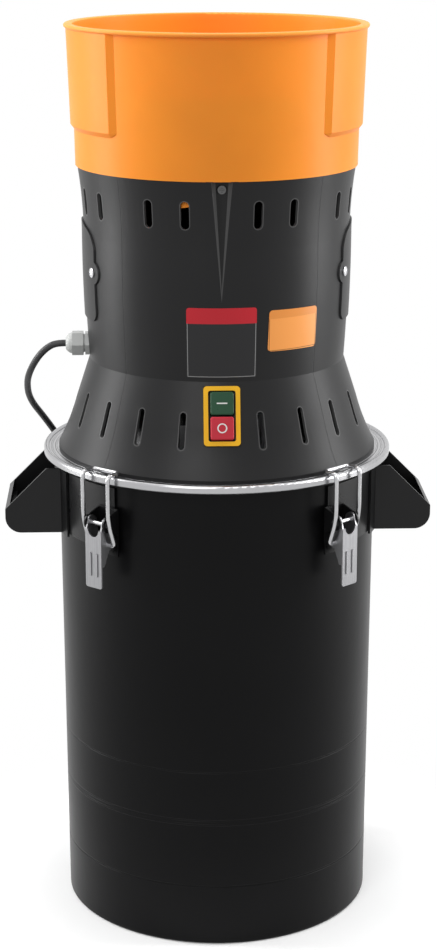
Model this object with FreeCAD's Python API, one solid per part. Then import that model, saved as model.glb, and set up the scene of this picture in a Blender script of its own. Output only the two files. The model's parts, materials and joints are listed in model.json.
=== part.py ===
import FreeCAD, Part
import math
import os

# Upright electric grain mill, in millimetres. The origin is the centre of the bin's foot, +Z is up and the
# switch faces -Y. An azimuth is counted from the front, positive toward +X. A piece that sits on the round
# body is first drawn facing +X, with Y across it, and is then turned to its azimuth.

# Clearances
seat_gap = 0.2
slide_gap = 0.3
running_gap = 0.05
screw_gap = 0.1

# Bin
bin_foot_radius = 137.1
bin_mouth_radius = 140.2
bin_height = 417.0
bin_wall = 1.2
cap_height = 55.0
cap_wall = 1.2
floor_thickness = 1.5
foot_round = 3.0
mouth_bend = 3.0

# Lid
lid_radius = 153.4
lid_top = 422.0
lid_thickness = 1.4
lid_bead_height = 2.0
lid_bead_width = 4.6
lid_skirt_wall = 3.0
flange_gap = 1.0
gasket_inset = 1.8
mouth_flange_radius = lid_radius - lid_skirt_wall - flange_gap
gasket_inner_radius = bin_mouth_radius + gasket_inset

# Motor housing
housing_wall = 3.0
foot_radius = 140.0
flare_mid = (131.0, 444.0)
flare_low = (123.6, 466.0)
waist_radius = 111.6
waist_z = 503.0
belly_mid = (114.4, 556.0)
band_radius = 115.3
band_z = 614.5
band_mid = (116.3, 639.0)
housing_top_radius = 120.0
housing_top = 671.0

# Vent slots
upper_slot_azimuths = [15, 31, 59, 75]
upper_slot_low = 631.0
upper_slot_high = 654.0
upper_slot_width = 7.3
lower_slot_azimuths = [15.5, 33.5, 51.5, 69.5]
lower_slot_low = 448.0
lower_slot_high = 478.0
lower_slot_width = 5.4

# Screw groove at the front and the back of the housing
groove_radius = 10.0
groove_depth = 5.3
groove_point_z = 571.0
groove_boss_width = 26.0
groove_boss_inner = 103.0
groove_screw_z = 664.0
groove_screw_head_radius = 3.5
groove_screw_sink = 0.6
groove_screw_head = 2.4
groove_screw_radius = 2.35
lug_depth = 14.0
lug_wall = 4.0
lug_half_angle = 5.5

# Covers over the brushes
cover_half_width = 48.6
cover_low = 541.0
cover_shoulder = 604.0
cover_high = 624.0
cover_corner = 9.0
cover_proud = 1.6
ear_z = 584.0
ear_y = 45.6
ear_radius = 10.0
cover_screw_head_radius = 4.2
cover_screw_radius = 2.0
cover_screw_reach = 8.0
brush_window_half = 34.0
brush_window_low = 560.0
brush_window_high = 606.0

# Hopper
hopper_foot_radius = 121.6
hopper_body_radius = 122.2
hopper_body_z = 703.0
hopper_wall = 2.9
hopper_neck_radius = 125.1
hopper_top = 790.0
lip_radius = 129.9
lip_height = 3.4
spigot_depth = 9.0
spigot_wall = 2.5
spigot_taper = 1.0
tab_azimuths = (-23.0, -8.5)
tab_low = 646.0
pad_start = 44.0
pad_ramp = 3.0
pad_low = 702.0
pad_proud = 3.0
pad_slope = 4.0
pad_corner = 13.0
funnel_top = 738.0
funnel_bottom = 644.0
funnel_thickness = 3.0
funnel_margin = 0.25
outlet_sleeve_height = 12.0

# Feed chute
chute_y = 66.0
chute_radius = 15.0
chute_bore = 13.5
chute_flange_radius = 20.0
chute_flange = 2.5

# Switch
switch_width = 30.6
switch_height = 50.0
switch_centre = (119.9, 475.6)
switch_lean = 18.0
switch_proud = 3.0
switch_back = 2.0
switch_window_width = 23.0
switch_window_height = 42.6
switch_corner = 3.0
button_width = 19.4
button_pitch = 20.8
button_proud = 5.6
button_travel = 3.0
button_stem = 6.0
switch_body_depth = 26.0

# Motor
motor_half = 46.0
motor_corner = 14.0
bracket_plate = 4.0
post_place = 38.0
post_radius = 4.5
stator_low = 500.0
stator_high = 556.0
stator_bore = 37.0
pole_radius = 29.0
pole_half = 22.0
coil_overhang = 6.0
coil_side = 8.0
shaft_radius = 6.0
shaft_low = 364.0
shaft_high = 620.0
bearing_radius = 16.0
bearing_height = 10.0
lower_bearing_z = 434.0
upper_bearing_z = 606.0
boss_radius = 20.0
armature_radius = 28.2
armature_slots = 12
winding_radius = 25.0
winding_height = 13.0
commutator_radius = 14.0
commutator_low = 572.0
commutator_high = 596.0
commutator_bars = 12
fan_radius = 47.0
fan_low = 455.0
fan_plate_z = 474.0
fan_vanes = 9
bolt_radius = 2.45
bolt_head_radius = 4.4
bolt_low = 480.0
brush_z = 584.0
brush_width = 8.0
brush_height = 10.0
brush_length = 20.0
holder_wall = 1.8
holder_start = 18.0
holder_end = 62.0

# Grinding chamber, under the lid
chamber_radius = 90.0
chamber_low = 350.0
chamber_plate = 3.0
chamber_ring = 4.0
chamber_posts = 4
chamber_post_radius = 3.0
screen_radius = 80.0
screen_wall = 1.0
screen_hole_radius = 3.5
screen_columns = 20
screen_rows = 3
screen_row_pitch = 16.0
blade_length = 124.0
blade_width = 22.0
blade_thickness = 4.0
blade_z = 384.0
blade_hub_radius = 12.0
blade_tip_height = 14.0
nut_radius = 10.0
nut_height = 8.0

# Handles and the aprons behind them
apron_wall = 2.0
apron_start = 39.5
apron_low = 355.0
apron_high = 411.0
handle_half = 42.0
handle_wall = 2.5
handle_reach = 187.0
handle_low = 352.6
handle_high = 410.4
handle_shoulder_z = 374.0
handle_corner = 14.0
handle_root_half = 56.0
handle_root_wall = 2.0
grip_wall = 4.0
grip_ledge = 3.0
handle_screw_y = 25.0
handle_screw_zs = [368.0, 398.0]
handle_screw_radius = 2.5
handle_screw_head_radius = 4.5
handle_screw_head = 2.2
handle_screw_stand = 0.9
handle_screw_length = 8.0

# Toggle latches
latch_azimuths = {"front_left": -42.0, "front_right": 42.0, "rear_left": -138.0, "rear_right": 138.0}
pivot_stand = 2.1
hook_sink = 1.9
lever_stand = 9.1
pivot = (lid_radius + pivot_stand, 382.5)
hook_pivot = (lid_radius - hook_sink, 364.0)
lever_face_radius = lid_radius + lever_stand
lever_low = 327.0
lever_high = 378.0
lever_half = 9.0
lever_sheet = 1.5
lever_flange_low = 346.0
lever_ear_radius = 6.0
lever_hook_ear_radius = 4.6
lever_rib_radius = 1.3
lever_rib_y = 3.6
lever_rib_low = 337.0
lever_rib_high = 358.0
bracket_half = 11.1
bracket_sheet = 1.5
bracket_low = 352.0
bracket_high = 394.0
bracket_ear_low = 371.0
bracket_ear_radius = 6.6
pin_radius = 2.0
pin_head_radius = 3.3
pin_head_reach = 11.9
rivet_radius = 2.2
rivet_head = 1.0
rivet_z = 359.0
rivet_y = 6.0
wire_radius = 1.9
bail_half = 14.3
bail_stand = 5.6
bail_reach = 8.9
bail_leg_radius = lid_radius + bail_stand
bail_leg_z = 386.0
bail_bar_radius = lid_radius - bail_reach
bail_bar_z = lid_top + lid_bead_height + wire_radius + slide_gap
bail_bend = 4.0
bail_knee = 60.0
bail_foot_bend = 3.0

# Cable gland, facing -X
gland_z = 513.5
gland_face = 111.0
gland_flange_radius = 10.8
gland_flange_end = 115.5
gland_thread_radius = 8.0
gland_inner_end = 98.0
gland_dome_start = 117.0
gland_dome_end = 127.0
gland_dome_radius = 11.3
gland_nose_end = 132.5
gland_nose_radius = 5.2

# Cord: the free stretch from the gland to the coil
cord_radius = 3.0
cord_floor_z = 3.2
cord_points = [
    (-132.5, 0.0, 513.5),
    (-141.0, 0.0, 513.5),
    (-149.0, 1.0, 509.5),
    (-157.3, 5.0, 500.6),
    (-165.0, 17.0, 486.0),
    (-169.5, 37.0, 470.0),
    (-168.5, 61.0, 448.5),
    (-155.0, 84.5, 424.0),
    (-138.0, 96.0, 395.0),
    (-127.5, 91.5, 352.0),
    (-125.0, 90.5, 297.0),
    (-123.5, 92.0, 235.0),
    (-124.5, 91.0, 172.0),
    (-123.5, 92.5, 112.0),
    (-124.5, 93.0, 62.0),
    (-123.5, 99.0, 21.0),
    (-120.0, 127.0, 3.2),
    (-117.1, 163.0, 3.2),
    (-117.1, 197.0, 3.2),
]
arc_share = 0.45

# Cord: the coil, wound inward on the floor and outward again on top
coil_centre = (-75.0, 203.0)
coil_pitch = 6.6
coil_outer_radius = 42.1
coil_turns_in = 2.75
coil_turns_out = 2.5
coil_start_angle = 180.0
coil_climb = 0.5
coil_lead = 6.0
coil_tail = 28.0

# Plug
plug_relief_length = 18.0
plug_relief_radius = 4.4
plug_body_length = 30.0
plug_half_width = 13.0
plug_half_height = 9.7
plug_corner = 5.0
blade_pitch = 12.7
contact_length = 17.5
contact_height = 6.4
contact_thickness = 1.6
earth_offset = 11.9
earth_radius = 2.35
earth_length = 20.5

origin = FreeCAD.Vector(0, 0, 0)
x_axis = FreeCAD.Vector(1, 0, 0)
y_axis = FreeCAD.Vector(0, 1, 0)
up = FreeCAD.Vector(0, 0, 1)


def vector(point):
    return FreeCAD.Vector(*point)


def flat(point):
    return FreeCAD.Vector(point[0], 0, point[1])


def section(start, *steps):
    """Flat face in the XZ plane. A step is a point, or a (through, end) pair of points for an arc."""
    edges = []
    here = start
    for step in steps + (start,):
        if isinstance(step[0], tuple):
            end = step[1]
            edges.append(Part.Arc(flat(here), flat(step[0]), flat(end)).toShape())
        else:
            end = step
            if end != here:
                edges.append(Part.LineSegment(flat(here), flat(end)).toShape())
        here = end
    return Part.Face(Part.Wire(edges))


def turned(face, degrees=360.0):
    """Face revolved about Z."""
    return face.revolve(origin, up, degrees)


def facing(shape, azimuth):
    """Copy of a shape drawn facing +X, turned to an azimuth."""
    copy = shape.copy()
    copy.rotate(origin, up, azimuth - 90.0)
    return copy


def sector(face, start, end):
    """Face revolved between two azimuths."""
    return facing(turned(face, end - start), start)


def box(x0, x1, y0, y1, z0, z1):
    return Part.makeBox(x1 - x0, y1 - y0, z1 - z0, FreeCAD.Vector(x0, y0, z0))


def rod(radius, start, end):
    """Cylinder between two points."""
    line = vector(end) - vector(start)
    return Part.makeCylinder(radius, line.Length, vector(start), line)


def ring(outer, inner, low, high, x=0.0, y=0.0):
    tube = rod(outer, (x, y, low), (x, y, high))
    return tube.cut(rod(inner, (x, y, low - 1), (x, y, high + 1)))


def united(shapes):
    whole = shapes[0].multiFuse(shapes[1:])
    return whole.removeSplitter()


def rounded_plate(half_x, half_y, corner, low, high):
    """Upright prism with a rounded rectangle as its plan."""
    plate = box(-half_x, half_x, -half_y, half_y, low, high)
    uprights = [edge for edge in plate.Edges if abs(edge.tangentAt(edge.FirstParameter).z) > 0.9]
    return plate.makeFillet(corner, uprights)


def plate_along_x(half_y, low, high, corner, x0, x1):
    """Prism along X with a rounded rectangle as its outline in Y and Z."""
    plate = box(x0, x1, -half_y, half_y, low, high)
    lengthways = [edge for edge in plate.Edges if abs(edge.tangentAt(edge.FirstParameter).x) > 0.9]
    return plate.makeFillet(corner, lengthways)


def slot_cutter(half_width, low, high, x0, x1):
    """Upright slot with round ends, cut along X."""
    foot = rod(half_width, (x0, 0, low + half_width), (x1, 0, low + half_width))
    head = rod(half_width, (x0, 0, high - half_width), (x1, 0, high - half_width))
    return united([foot, head, box(x0, x1, -half_width, half_width, low + half_width, high - half_width)])


def swept(wire, radius):
    """Round tube along a smooth wire."""
    edge = wire.Edges[0]
    start = edge.valueAt(edge.FirstParameter)
    circle = Part.Wire(Part.makeCircle(radius, start, edge.tangentAt(edge.FirstParameter)))
    tube = wire.makePipeShell([circle], True, False)
    expected = math.pi * radius * radius * wire.Length
    print("tube volume %.0f, section times length %.0f" % (tube.Volume, expected))
    return tube


def bent_wire(points, radii):
    """Straight runs through points, with an arc of the given radius at each inner point."""
    corners = [vector(point) for point in points]
    edges = []
    here = corners[0]
    for index in range(1, len(corners) - 1):
        before = (corners[index - 1] - corners[index]).normalize()
        after = (corners[index + 1] - corners[index]).normalize()
        half_turn = 0.5 * (math.pi - before.getAngle(after))
        reach = radii[index - 1] * math.tan(half_turn)
        start = corners[index] + before * reach
        end = corners[index] + after * reach
        middle = (before + after).normalize()
        depth = radii[index - 1] / math.cos(half_turn) - radii[index - 1]
        edges.append(Part.LineSegment(here, start).toShape())
        edges.append(Part.Arc(start, corners[index] + middle * depth, end).toShape())
        here = end
    edges.append(Part.LineSegment(here, corners[-1]).toShape())
    return Part.Wire(edges)


def bin_radius(z):
    """Outer radius of the slightly widening bin."""
    return bin_foot_radius + (bin_mouth_radius - bin_foot_radius) * z / bin_height


def housing_section(inset=0.0, proud=0.0):
    """Everything inside the housing's outer face, moved inward by inset or outward by proud."""
    shift = proud - inset
    return section(
        (0, lid_top - 1 if inset else lid_top),
        (foot_radius + shift, lid_top - 1 if inset else lid_top),
        (foot_radius + shift, lid_top + 3),
        ((flare_mid[0] + shift, flare_mid[1]), (flare_low[0] + shift, flare_low[1])),
        (waist_radius + shift, waist_z),
        ((belly_mid[0] + shift, belly_mid[1]), (band_radius + shift, band_z)),
        ((band_mid[0] + shift, band_mid[1]), (housing_top_radius + shift, housing_top)),
        (housing_top_radius + shift, housing_top + (1 if inset else 0)),
        (0, housing_top + (1 if inset else 0)),
    )


def make_base_cap():
    corner = foot_round * (1 - math.sqrt(0.5))
    foot = bin_radius(foot_round)
    top = bin_radius(cap_height)
    return turned(section(
        (0, 0),
        (foot - foot_round, 0),
        ((foot - corner, corner), (foot, foot_round)),
        (top, cap_height),
        (top - cap_wall, cap_height),
        (bin_radius(floor_thickness) - cap_wall, floor_thickness),
        (0, floor_thickness),
    ))


def make_bin_shell():
    inset = cap_wall + seat_gap
    joint = cap_height + seat_gap
    neck_z = bin_height - bin_wall - mouth_bend
    neck = bin_radius(neck_z)
    slant = math.sqrt(0.5)
    bend = mouth_bend + bin_wall
    return turned(section(
        (bin_radius(floor_thickness) - inset, floor_thickness),
        (bin_radius(joint) - inset, joint),
        (bin_radius(joint), joint),
        (neck, neck_z),
        ((neck + mouth_bend * (1 - slant), neck_z + mouth_bend * slant),
         (neck + mouth_bend, bin_height - bin_wall)),
        (mouth_flange_radius, bin_height - bin_wall),
        (mouth_flange_radius, bin_height),
        (neck + mouth_bend, bin_height),
        ((neck + mouth_bend - bend * slant, neck_z + bend * slant), (neck - bin_wall, neck_z)),
        (bin_radius(joint) - bin_wall, joint + bin_wall),
        (bin_radius(joint) - inset - bin_wall, joint - bin_wall),
        (bin_radius(floor_thickness) - inset - bin_wall, floor_thickness),
    )).cut(handle_screw_holes(-90.0) + handle_screw_holes(90.0))


def make_lid_plate():
    under = lid_top - lid_thickness
    skirt_inner = lid_radius - lid_skirt_wall
    skirt_low = bin_height + seat_gap
    bead_top = lid_top + lid_bead_height
    bead_inner = lid_radius - lid_bead_width
    plate = turned(section(
        (0, under),
        (skirt_inner, under),
        (skirt_inner, skirt_low),
        (lid_radius - 0.8, skirt_low),
        (lid_radius, skirt_low + 0.8),
        (lid_radius, lid_top - 0.4),
        ((lid_radius - 0.7, bead_top - 0.7), (lid_radius - 2.4, bead_top)),
        ((bead_inner + 0.9, bead_top - 0.7), (bead_inner, lid_top)),
        (0, lid_top),
    ))
    shaft_hole = rod(shaft_radius + 1.5, (0, 0, under - 1), (0, 0, lid_top + 1))
    feed_hole = rod(chute_bore, (0, chute_y, under - 1), (0, chute_y, lid_top + 1))
    return plate.cut(shaft_hole).cut(feed_hole)


def make_rim_gasket():
    under = lid_top - lid_thickness
    return ring(mouth_flange_radius, gasket_inner_radius, bin_height, under)


def groove_cutter():
    """Upright round cutter: the housing widens above its low end, so the groove starts there in a point."""
    middle = housing_top_radius - groove_depth + groove_radius
    return rod(groove_radius, (middle, 0, groove_point_z), (middle, 0, housing_top + 6))


def cover_outline(grow=0.0):
    """Arched outline of a brush cover with its two ears, as a prism along X."""
    half = cover_half_width + grow
    low = cover_low - grow
    shoulder = cover_shoulder
    high = cover_high + grow
    corner = cover_corner

    def at(y, z):
        return FreeCAD.Vector(0, y, z)
    slant = corner * (1 - math.sqrt(0.5))
    arch_y = half * 0.62
    arch_z = shoulder + (high - shoulder) * 0.8
    edges = [
        Part.LineSegment(at(-half + corner, low), at(half - corner, low)).toShape(),
        Part.Arc(at(half - corner, low), at(half - slant, low + slant), at(half, low + corner)).toShape(),
        Part.LineSegment(at(half, low + corner), at(half, shoulder)).toShape(),
        Part.Arc(at(half, shoulder), at(half * 0.88, shoulder + (high - shoulder) * 0.5),
                 at(arch_y, arch_z)).toShape(),
        Part.Arc(at(arch_y, arch_z), at(0, high), at(-arch_y, arch_z)).toShape(),
        Part.Arc(at(-arch_y, arch_z), at(-half * 0.88, shoulder + (high - shoulder) * 0.5),
                 at(-half, shoulder)).toShape(),
        Part.LineSegment(at(-half, shoulder), at(-half, low + corner)).toShape(),
        Part.Arc(at(-half, low + corner), at(-half + slant, low + slant), at(-half + corner, low)).toShape(),
    ]
    plate = Part.Face(Part.Wire(edges)).extrude(FreeCAD.Vector(housing_top_radius + 20, 0, 0))
    ears = []
    for side in (-1, 1):
        ears.append(rod(ear_radius + grow, (0, side * ear_y, ear_z),
                        (housing_top_radius + 20, side * ear_y, ear_z)))
    return united([plate] + ears)


def ear_screw_places():
    """Start direction of each cover screw: the ear's azimuth off the cover's middle."""
    angle = math.degrees(math.asin(ear_y / (band_radius + cover_proud)))
    return [-angle, angle]


def make_cover(azimuth):
    skin = turned(housing_section(proud=cover_proud))
    core = turned(housing_section(proud=seat_gap))
    cover = cover_outline().common(skin.cut(core))
    plug_low = brush_window_low + seat_gap
    plug_high = brush_window_high - seat_gap
    half = brush_window_half - seat_gap
    plug = plate_along_x(half, plug_low, plug_high, 4, belly_mid[0] - 10, band_radius + 5)
    shell = skin.cut(turned(housing_section(inset=housing_wall)))
    cover = united([cover, plug.common(shell)])
    for angle in ear_screw_places():
        hole = rod(cover_screw_radius + screw_gap, (90, 0, ear_z), (130, 0, ear_z))
        hole.rotate(origin, up, angle)
        cover = cover.cut(hole)
    return facing(cover, azimuth)


def make_cover_screws():
    seat = band_radius + cover_proud
    head = turned(section((0, 0), (cover_screw_head_radius, 0), (cover_screw_head_radius, 0.9),
                          ((cover_screw_head_radius * 0.6, 1.9), (0, 2.2))))
    shank = rod(cover_screw_radius, (0, 0, -cover_screw_reach), (0, 0, 0))
    recess = united([box(-2.4, 2.4, -0.5, 0.5, 1.2, 3), box(-0.5, 0.5, -2.4, 2.4, 1.2, 3)])
    screw = united([head, shank]).cut(recess)
    screw.rotate(origin, y_axis, 90)
    screw.translate(FreeCAD.Vector(seat, 0, ear_z))
    screws = []
    for middle in (-90.0, 90.0):
        for angle in ear_screw_places():
            screws.append(facing(screw, middle + angle))
    return Part.makeCompound(screws)


def mirrored_azimuths(azimuths):
    """The same azimuths on both sides, at the front and at the back."""
    whole = []
    for azimuth in azimuths:
        whole += [azimuth, -azimuth, 180.0 - azimuth, azimuth - 180.0]
    return whole


def switch_place(shape):
    """Shape drawn about the switch's centre, put on the flare at the front."""
    shape.rotate(origin, y_axis, -switch_lean)
    shape.translate(flat(switch_centre))
    return facing(shape, 0)


def make_housing():
    solid = turned(housing_section())
    hollow = turned(housing_section(inset=housing_wall))
    shell = solid.cut(hollow)
    boss = box(groove_boss_inner, housing_top_radius, -groove_boss_width / 2, groove_boss_width / 2,
               groove_point_z - 10, housing_top)
    boss = boss.common(solid)
    shell = united([shell, facing(boss, 0), facing(boss, 180)])
    cutters = []
    upper = slot_cutter(upper_slot_width / 2, upper_slot_low, upper_slot_high, 100, 130)
    lower = slot_cutter(lower_slot_width / 2, lower_slot_low, lower_slot_high, 100, 145)
    for azimuth in mirrored_azimuths(upper_slot_azimuths):
        cutters.append(facing(upper, azimuth))
    for azimuth in mirrored_azimuths(lower_slot_azimuths) + [-90.0, 90.0]:
        cutters.append(facing(lower, azimuth))
    groove = groove_cutter()
    screw_bore = rod(groove_screw_radius + screw_gap, (groove_boss_inner - 5, 0, groove_screw_z),
                     (130, 0, groove_screw_z))
    head_seat = rod(groove_screw_head_radius + screw_gap, (groove_screw_seat(), 0, groove_screw_z),
                    (130, 0, groove_screw_z))
    for azimuth in (0, 180):
        cutters += [facing(groove, azimuth), facing(screw_bore, azimuth), facing(head_seat, azimuth)]
    window = plate_along_x(brush_window_half, brush_window_low, brush_window_high, 4, 90, 125)
    screw_hole = rod(cover_screw_radius + screw_gap, (90, 0, ear_z), (130, 0, ear_z))
    for middle in (-90.0, 90.0):
        cutters.append(facing(window, middle))
        for angle in ear_screw_places():
            cutters.append(facing(screw_hole, middle + angle))
    cutters.append(facing(rod(gland_thread_radius + screw_gap, (90, 0, gland_z), (130, 0, gland_z)), -90))
    body_half = switch_window_width / 2 + 2 + slide_gap
    tall_half = switch_window_height / 2 + 1.5 + slide_gap
    cutters.append(switch_place(box(-40, 20, -body_half, body_half, -tall_half, tall_half)))
    seat = box(-switch_back, 20, -switch_width / 2 - seat_gap, switch_width / 2 + seat_gap,
               -switch_height / 2 - seat_gap, switch_height / 2 + seat_gap)
    cutters.append(switch_place(seat))
    return shell.cut(cutters)


def groove_screw_seat():
    """Radius at which the head of a groove screw sits, a little below the groove's face."""
    return housing_top_radius - groove_depth - groove_screw_sink


def make_groove_screws():
    seat = groove_screw_seat()
    tip = groove_boss_inner - seat_gap - lug_wall
    head = rod(groove_screw_head_radius, (seat, 0, groove_screw_z),
               (seat + groove_screw_head, 0, groove_screw_z))
    shank = rod(groove_screw_radius, (tip, 0, groove_screw_z), (seat, 0, groove_screw_z))
    screw = united([head, shank])
    half = groove_screw_head / 2
    recess = united([box(seat + half, seat + 4, -2.0, 2.0, groove_screw_z - 0.5, groove_screw_z + 0.5),
                     box(seat + half, seat + 4, -0.5, 0.5, groove_screw_z - 2.0, groove_screw_z + 2.0)])
    screw = screw.cut(recess)
    return Part.makeCompound([facing(screw, 0), facing(screw, 180)])


def cone_between(radius_low, radius_high, low, high, y_low):
    """Oblique cone from a small circle behind the axis up to a large one on the axis."""
    small = Part.Wire(Part.makeCircle(radius_low, FreeCAD.Vector(0, y_low, low), up))
    large = Part.Wire(Part.makeCircle(radius_high, FreeCAD.Vector(0, 0, high), up))
    return Part.makeLoft([small, large], True, True)


def pad_section(proud, inner_inset=0.5):
    """Half-plane outline of a raised side pad, with its sloped lower edge."""
    body = hopper_body_radius
    neck = hopper_neck_radius
    lip_low = hopper_top - lip_height
    return section(
        (body - inner_inset, pad_low),
        (body + 0.02, pad_low),
        (body + 0.02 + proud, pad_low + pad_slope),
        (neck + 0.02 + proud, lip_low + 0.5),
        (neck - inner_inset, lip_low + 0.5),
    )


def make_pad(azimuth):
    """Raised pad: a plain sector with a ramp on each side, its lower corners rounded."""
    end = 180.0 - pad_start
    middle = sector(pad_section(pad_proud), pad_start + pad_ramp, end - pad_ramp)
    flush = pad_section(0.05)
    full = pad_section(pad_proud)
    pieces = [middle]
    for edge, inner in ((pad_start, pad_start + pad_ramp), (end, end - pad_ramp)):
        ramp = [facing(flush, edge).OuterWire, facing(full, inner).OuterWire]
        pieces.append(Part.makeLoft(ramp, True, True))
    pad = united(pieces)
    half = (hopper_body_radius + pad_proud) * math.cos(math.radians(pad_start)) + 1
    trim = plate_along_x(half, pad_low - 0.5, hopper_top + 60, pad_corner, 60, 140)
    pad = pad.common(trim)
    return facing(pad, azimuth)


def make_hopper():
    inner = hopper_body_radius - hopper_wall
    neck = hopper_neck_radius - hopper_wall
    spigot = housing_top_radius - housing_wall - 2 * slide_gap
    spigot_foot = spigot - spigot_taper
    lip_low = hopper_top - lip_height
    wall = turned(section(
        (spigot_foot, housing_top - spigot_depth),
        (spigot, housing_top),
        (hopper_foot_radius, housing_top),
        (hopper_foot_radius, housing_top + 2),
        (hopper_body_radius, hopper_body_z),
        (hopper_neck_radius, lip_low),
        (lip_radius - 1.2, lip_low),
        ((lip_radius, lip_low + lip_height / 2), (lip_radius - 1.2, hopper_top)),
        (neck + 1.2, hopper_top),
        ((neck + 0.3, hopper_top - 0.4), (neck, hopper_top - 1.4)),
        (inner, hopper_body_z),
        (inner, housing_top + 3),
        (spigot - spigot_wall, housing_top + 1),
        (spigot - spigot_wall, housing_top - spigot_depth),
    ))
    wall_middle = hopper_body_radius - hopper_wall / 2 + 1.2
    collar = wall_middle + funnel_margin
    funnel = united([cone_between(chute_radius + 2, collar, funnel_bottom, funnel_top, chute_y),
                     rod(collar, (0, 0, funnel_top), (0, 0, funnel_top + 2 * funnel_thickness))])
    scoop = united([cone_between(chute_bore, wall_middle, funnel_bottom + funnel_thickness,
                                 funnel_top + funnel_thickness, chute_y),
                    rod(wall_middle, (0, 0, funnel_top + funnel_thickness),
                        (0, 0, funnel_top + 3 * funnel_thickness))])
    sleeve = rod(chute_radius + 2, (0, chute_y, funnel_bottom - outlet_sleeve_height),
                 (0, chute_y, funnel_bottom + funnel_thickness + 1))
    funnel = united([funnel, sleeve]).cut(scoop)
    funnel = funnel.cut(rod(chute_bore, (0, chute_y, funnel_bottom - 30), (0, chute_y, funnel_bottom + 30)))
    funnel = funnel.cut(rod(chute_radius + seat_gap, (0, chute_y, funnel_bottom - 30),
                            (0, chute_y, funnel_bottom)))
    tab_outer = housing_top_radius - 2 * housing_wall - 0.8
    tab = section((tab_outer - 3, tab_low), (tab_outer, tab_low), (tab_outer, housing_top - spigot_depth + 2),
                  (spigot_foot, housing_top - spigot_depth + 4), (spigot_foot, housing_top - 1),
                  (spigot - spigot_wall, housing_top - 1), (tab_outer - 3, housing_top - spigot_depth + 2))
    tab = sector(tab, *tab_azimuths)
    slope = box(90, 130, -40, 40, tab_low - 20, tab_low)
    slope.rotate(FreeCAD.Vector(110, -14, tab_low), x_axis, 10)
    tab = tab.cut(facing(slope, sum(tab_azimuths) / 2))
    notch = box(spigot - 10, spigot + 5, -groove_boss_width / 2 - seat_gap, groove_boss_width / 2 + seat_gap,
                housing_top - 30, housing_top + seat_gap)
    lug_face = groove_boss_inner - seat_gap
    lug = section((lug_face - lug_wall, housing_top - lug_depth), (lug_face, housing_top - lug_depth),
                  (lug_face, housing_top + seat_gap), (inner + 1, housing_top + seat_gap),
                  (inner + 1, housing_top + 3), (lug_face - lug_wall, housing_top + 3))
    lug = sector(lug, 90 - lug_half_angle, 90 + lug_half_angle)
    lug = lug.cut(rod(groove_screw_radius, (90, 0, groove_screw_z), (120, 0, groove_screw_z)))
    wall = wall.cut([facing(notch, 0), facing(notch, 180)])
    pieces = [wall, funnel, tab, facing(lug, 0), facing(lug, 180)]
    return united(pieces + [make_pad(-90.0), make_pad(90.0)])


def make_feed_chute():
    tube = ring(chute_radius, chute_bore, lid_top, funnel_bottom - seat_gap, 0, chute_y)
    flange = ring(chute_flange_radius, chute_bore, lid_top, lid_top + chute_flange, 0, chute_y)
    keep = box(-50, 50, motor_half + seat_gap, 150, lid_top - 1, lid_top + 10)
    return united([tube, flange.common(keep)])


def make_lower_bracket():
    base = rounded_plate(motor_half, motor_half, motor_corner, lid_top, lid_top + bracket_plate)
    deck = rounded_plate(motor_half, motor_half, motor_corner, stator_low - bracket_plate, stator_low)
    deck = deck.cut(rod(stator_bore + 0.5, (0, 0, stator_low - 10), (0, 0, stator_low + 10)))
    boss = rod(boss_radius, (0, 0, lid_top), (0, 0, lower_bearing_z + bearing_height))
    posts = []
    for x in (-post_place, post_place):
        for y in (-post_place, post_place):
            posts.append(rod(post_radius, (x, y, lid_top), (x, y, stator_low - bracket_plate / 2)))
    frame = united([base, deck, boss] + posts)
    frame = frame.cut(rod(bearing_radius, (0, 0, lower_bearing_z), (0, 0, lower_bearing_z + 40)))
    frame = frame.cut(rod(shaft_radius + 1.5, (0, 0, lid_top - 1), (0, 0, lower_bearing_z + 1)))
    return frame.cut(bolt_holes())


def bolt_holes():
    holes = []
    for x in (-post_place, post_place):
        for y in (-post_place, post_place):
            holes.append(rod(bolt_radius + running_gap, (x, y, bolt_low), (x, y, stator_high + 20)))
    return holes


def make_upper_bracket():
    low = stator_high
    deck = rounded_plate(motor_half, motor_half, motor_corner, low, low + bracket_plate)
    deck = deck.cut(rod(stator_bore + 0.5, (0, 0, low - 10), (0, 0, low + 10)))
    pillar_in = stator_bore + 1
    holder_under = brush_z - brush_height / 2 - holder_wall
    bridge_low = upper_bearing_z - 6
    pieces = [deck]
    for side in (-1, 1):
        near, far = sorted((side * pillar_in, side * motor_half))
        pieces.append(box(-10, 10, near, far, low, upper_bearing_z))
        pieces.append(box(near, far, -12, 12, low, holder_under))
    pieces.append(box(-10, 10, -motor_half, motor_half, bridge_low, upper_bearing_z))
    pieces.append(rod(boss_radius, (0, 0, bridge_low), (0, 0, upper_bearing_z + bearing_height)))
    frame = united(pieces)
    frame = frame.cut(rod(bearing_radius, (0, 0, upper_bearing_z), (0, 0, upper_bearing_z + 20)))
    frame = frame.cut(rod(shaft_radius + 1.5, (0, 0, low - 1), (0, 0, upper_bearing_z + 1)))
    return frame.cut(bolt_holes())


def make_bearing(low):
    groove = turned(section(
        (bearing_radius * 0.62, low + bearing_height - 1),
        (bearing_radius * 0.78, low + bearing_height - 1),
        (bearing_radius * 0.78, low + bearing_height + 1),
        (bearing_radius * 0.62, low + bearing_height + 1),
    ))
    return ring(bearing_radius, shaft_radius + running_gap, low, low + bearing_height).cut(groove)


def make_stator():
    block = rounded_plate(motor_half, motor_half, motor_corner, stator_low, stator_high)
    block = block.cut(rod(stator_bore, (0, 0, stator_low - 1), (0, 0, stator_high + 1)))
    pole = ring(stator_bore + 1, pole_radius, stator_low, stator_high)
    poles = []
    for side in (-1, 1):
        near, far = sorted((0, side * (stator_bore + 2)))
        poles.append(pole.common(box(-pole_half, pole_half, near, far, stator_low, stator_high)))
    return united([block] + poles).cut(bolt_holes())


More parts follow.
